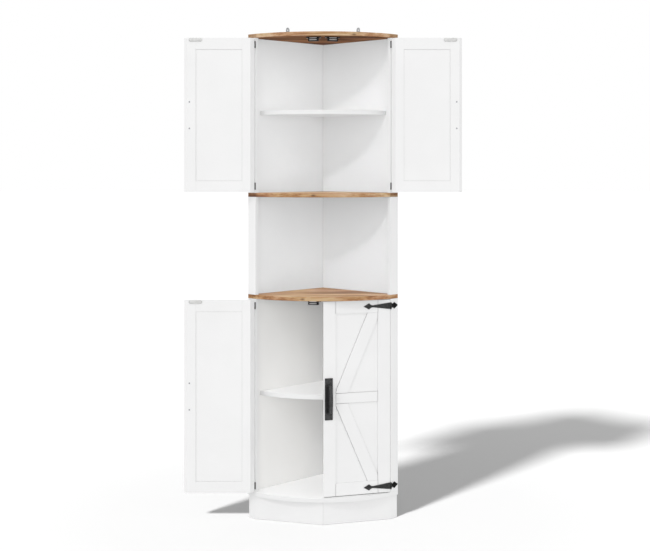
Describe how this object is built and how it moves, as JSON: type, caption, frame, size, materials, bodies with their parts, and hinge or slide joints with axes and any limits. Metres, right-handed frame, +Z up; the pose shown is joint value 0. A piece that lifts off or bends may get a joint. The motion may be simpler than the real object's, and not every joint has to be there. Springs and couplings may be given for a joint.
{
  "type": "corner cupboard",
  "caption": "Tall quarter-round corner cupboard: closed lower cabinet on a plinth, open niche and closed upper cabinet, with braced doors on strap hinges.",
  "frame": {"origin": "middle of the base of the whole part at rest, with three doors open, on the floor", "axes": "+Z up, -Y towards the room, +Y towards the room's corner, +X to the right seen from the front"},
  "size_m": [1.0292, 0.414, 1.841],
  "materials": {
    "white_board": "painted white, satin",
    "oak_board": "oak-look foil, satin",
    "black_iron": "black, matt",
    "plated_steel": "zinc plated",
    "black_plastic": "moulded, matt"
  },
  "bodies": {
    "cabinet": {"base_board": "white_board", "counter_board": "oak_board", "middle_board": "oak_board", "top_board": "oak_board", "lower_shelf": "white_board", "upper_shelf": "white_board", "plinth_left_side": "white_board", "plinth_right_side": "white_board", "plinth_left_front": "white_board", "plinth_right_front": "white_board", "lower_left_wall": "white_board", "lower_right_wall": "white_board", "lower_left_stile": "white_board", "lower_right_stile": "white_board", "niche_left_wall": "white_board", "niche_right_wall": "white_board", "niche_left_stile": "white_board", "niche_right_stile": "white_board", "upper_left_wall": "white_board", "upper_right_wall": "white_board", "upper_left_stile": "white_board", "upper_right_stile": "white_board", "left_wall_bracket": "plated_steel", "right_wall_bracket": "plated_steel", "lower_left_catch": "black_plastic", "lower_right_catch": "black_plastic", "upper_left_catch": "black_plastic", "upper_right_catch": "black_plastic", "lower_left_bottom_hinge_leaf": "black_iron", "lower_left_top_hinge_leaf": "black_iron", "lower_right_bottom_hinge_leaf": "black_iron", "lower_right_top_hinge_leaf": "black_iron", "upper_left_bottom_hinge_leaf": "black_iron", "upper_left_top_hinge_leaf": "black_iron", "upper_right_bottom_hinge_leaf": "black_iron", "upper_right_top_hinge_leaf": "black_iron"},
    "lower_left_door": {"lower_left_door_frame": "white_board", "lower_left_door_panel": "white_board", "lower_left_handle": "black_iron", "lower_left_strike_plate": "plated_steel", "lower_left_bottom_strap": "black_iron", "lower_left_top_strap": "black_iron"},
    "lower_right_door": {"lower_right_door_frame": "white_board", "lower_right_door_panel": "white_board", "lower_right_handle": "black_iron", "lower_right_strike_plate": "plated_steel", "lower_right_bottom_strap": "black_iron", "lower_right_top_strap": "black_iron"},
    "upper_left_door": {"upper_left_door_frame": "white_board", "upper_left_door_panel": "white_board", "upper_left_handle": "black_iron", "upper_left_strike_plate": "plated_steel", "upper_left_bottom_strap": "black_iron", "upper_left_top_strap": "black_iron"},
    "upper_right_door": {"upper_right_door_frame": "white_board", "upper_right_door_panel": "white_board", "upper_right_handle": "black_iron", "upper_right_strike_plate": "plated_steel", "upper_right_bottom_strap": "black_iron", "upper_right_top_strap": "black_iron"}
  },
  "joints": [
    {"name": "lower_left_hinge", "type": "hinge", "parent": "cabinet", "child": "lower_left_door", "pos_m": [-0.25177, -0.10206, 0.4585], "axis": [0, 0, -1], "range_deg": [-162, 18]},
    {"name": "lower_right_hinge", "type": "hinge", "parent": "cabinet", "child": "lower_right_door", "pos_m": [0.25177, -0.10206, 0.4585], "axis": [0, 0, 1], "range_deg": [0, 180]},
    {"name": "upper_left_hinge", "type": "hinge", "parent": "cabinet", "child": "upper_left_door", "pos_m": [-0.25177, -0.10206, 1.4975], "axis": [0, 0, -1], "range_deg": [-162, 18]},
    {"name": "upper_right_hinge", "type": "hinge", "parent": "cabinet", "child": "upper_right_door", "pos_m": [0.25177, -0.10206, 1.4975], "axis": [0, 0, 1], "range_deg": [-162, 18]}
  ]
}
